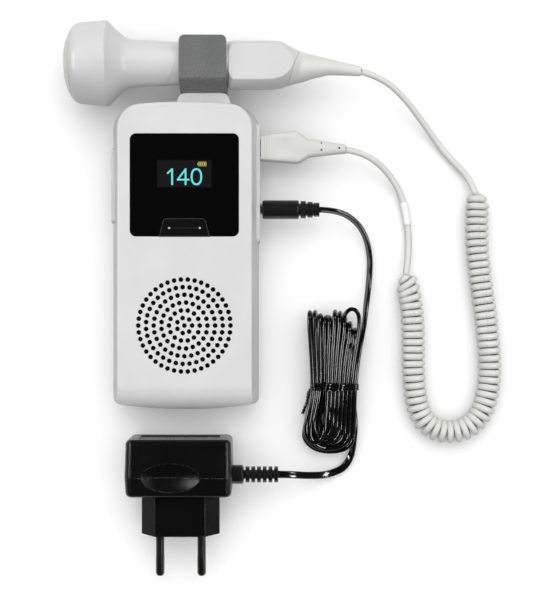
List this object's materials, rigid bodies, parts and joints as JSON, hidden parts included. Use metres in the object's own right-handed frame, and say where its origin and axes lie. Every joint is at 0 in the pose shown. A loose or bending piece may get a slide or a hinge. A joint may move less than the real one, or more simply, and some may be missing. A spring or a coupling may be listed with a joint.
{
  "type": "fetal doppler monitor",
  "caption": "Handheld fetal doppler monitor with display, speaker grille, clipped-on ultrasound probe on a curly cord, and a wall adapter with a tied supply cord.",
  "frame": {"origin": "middle of the unit's flat back face, which lies on the table", "axes": "+Z out of the display, +Y along the case to the probe end, +X to the side with the sockets"},
  "size_m": [0.199, 0.2515, 0.0387],
  "materials": {
    "case_white": "fine satin moulded surface",
    "clip_grey": "fine speckled satin",
    "lens_black": "polished",
    "button_black": "semi-gloss",
    "key_grey": "soft satin",
    "probe_white": "smooth satin gloss",
    "window_ivory": "smooth",
    "cord_ivory": "soft satin",
    "cord_black": "satin",
    "plastic_black": "fine spark texture",
    "pin_metal": "nickel plated",
    "screw_steel": "plain",
    "board_green": "lacquered",
    "display_glass": "polished",
    "cloth_black": "woven",
    "speaker_paper": "matt",
    "battery_wrap": "shrink sleeve",
    "socket_black": "matt"
  },
  "bodies": {
    "case": {"front_cover": "case_white", "rear_cover": "case_white", "battery_tray": "case_white", "battery_pack": "battery_wrap", "display_lens": "lens_black", "display_module": "display_glass", "power_switch": "socket_black", "key_panel": "case_white", "port_panel": "case_white", "speaker": "speaker_paper", "speaker_cloth": "cloth_black", "main_board": "board_green", "probe_socket": "socket_black", "power_jack": "socket_black", "case_screw_1": "screw_steel", "case_screw_2": "screw_steel", "case_screw_3": "screw_steel", "case_screw_4": "screw_steel", "clip_bracket": "case_white", "probe_clip": "clip_grey", "probe_cord_upper": "cord_ivory", "probe_cord_curl": "cord_ivory", "probe_cord_lower": "cord_ivory", "connector_hood": "cord_ivory", "connector_tongue": "pin_metal", "connector_relief": "cord_ivory", "plug_grip": "cord_black", "plug_barrel": "pin_metal", "supply_cord_upper": "cord_black", "supply_hank": "cord_black", "hank_tie": "cord_black", "supply_cord_lower": "cord_black", "adapter_shell": "plastic_black", "adapter_base": "plastic_black", "adapter_pin_left": "pin_metal", "adapter_pin_right": "pin_metal", "pin_sleeve_left": "plastic_black", "pin_sleeve_right": "plastic_black", "adapter_relief": "cord_black"},
    "power_button": {"power_button": "button_black"},
    "mode_key": {"mode_key": "key_grey"},
    "volume_up_key": {"volume_up_key": "key_grey"},
    "volume_down_key": {"volume_down_key": "key_grey"},
    "battery_door": {"battery_door": "case_white"},
    "probe": {"probe_window": "window_ivory", "probe_transducer": "pin_metal", "probe_body": "probe_white", "probe_grip": "probe_white", "probe_boot": "cord_ivory"}
  },
  "joints": [
    {"name": "power_press", "type": "slide", "parent": "case", "child": "power_button", "axis": [0, 0, -1], "range_m": [0, 0.0006], "stiffness_N_per_m": 800, "springref_m": -0.001},
    {"name": "mode_press", "type": "slide", "parent": "case", "child": "mode_key", "axis": [1, 0, 0], "range_m": [0, 0.0005], "stiffness_N_per_m": 800, "springref_m": -0.001},
    {"name": "volume_up_press", "type": "slide", "parent": "case", "child": "volume_up_key", "axis": [1, 0, 0], "range_m": [0, 0.0005], "stiffness_N_per_m": 800, "springref_m": -0.001},
    {"name": "volume_down_press", "type": "slide", "parent": "case", "child": "volume_down_key", "axis": [1, 0, 0], "range_m": [0, 0.0005], "stiffness_N_per_m": 800, "springref_m": -0.001},
    {"name": "door_slide", "type": "slide", "parent": "case", "child": "battery_door", "axis": [0, -1, 0], "range_m": [0, 0.008]},
    {"name": "probe_pull", "type": "slide", "parent": "case", "child": "probe", "axis": [0, 1, 0], "range_m": [0, 0.024]}
  ]
}
